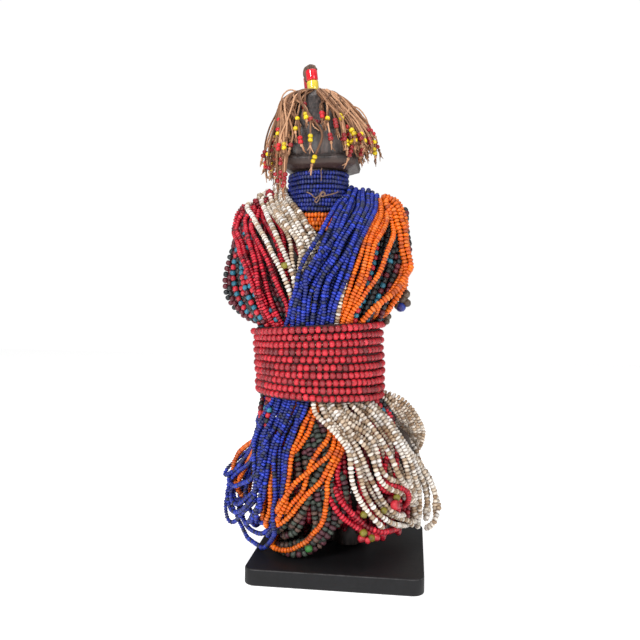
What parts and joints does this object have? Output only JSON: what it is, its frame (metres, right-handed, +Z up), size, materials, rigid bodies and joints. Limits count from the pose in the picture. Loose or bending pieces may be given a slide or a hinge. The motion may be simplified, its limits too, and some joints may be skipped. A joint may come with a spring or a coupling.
{
  "type": "beaded fertility doll",
  "caption": "Carved wooden figure under crossed hanks of strung glass beads, with a beaded waist belt and a fibre fringe, on a square black base.",
  "frame": {"origin": "middle of the base's underside", "axes": "+Z up along the figure's height, the figure faces -Y, +X is the picture's right"},
  "size_m": [0.1294, 0.1087, 0.3165],
  "materials": {
    "base_black": "satin black stain, worn at the edges",
    "carved_wood": "dark handled wood, dull",
    "blue_bead": "opaque blue seed beads, satin",
    "orange_bead": "opaque orange seed beads, satin",
    "cream_bead": "opaque cream seed beads, dirty between",
    "red_bead": "opaque red seed beads, satin",
    "belt_red_bead": "round opaque red beads, worn",
    "mixed_bead": "round red, teal and black beads",
    "dark_bead": "large dark green and plum beads, dull",
    "topknot_red": "glossy opaque red tube bead",
    "topknot_yellow": "glossy opaque yellow tube bead",
    "fibre_cord": "brown twisted plant fibre",
    "dark_leather": "dark dry leather cord"
  },
  "bodies": {
    "root": {"display_base": "base_black", "wood_figure": "carved_wood", "neck_coils_blue": "blue_bead", "collar_coils_orange": "orange_bead", "waist_belt": "belt_red_bead", "blue_hank": "blue_bead", "orange_hank": "orange_bead", "cream_hank": "cream_bead", "red_hank": "red_bead", "mixed_hank_left": "mixed_bead", "mixed_hank_right": "mixed_bead", "dark_loops_front": "dark_bead", "dark_loops_back": "dark_bead", "hair_fringe": "fibre_cord", "topknot_cord": "dark_leather", "topknot_bead_red": "topknot_red", "topknot_bead_yellow": "topknot_yellow", "topknot_bead_back": "topknot_red"}
  },
  "joints": []
}
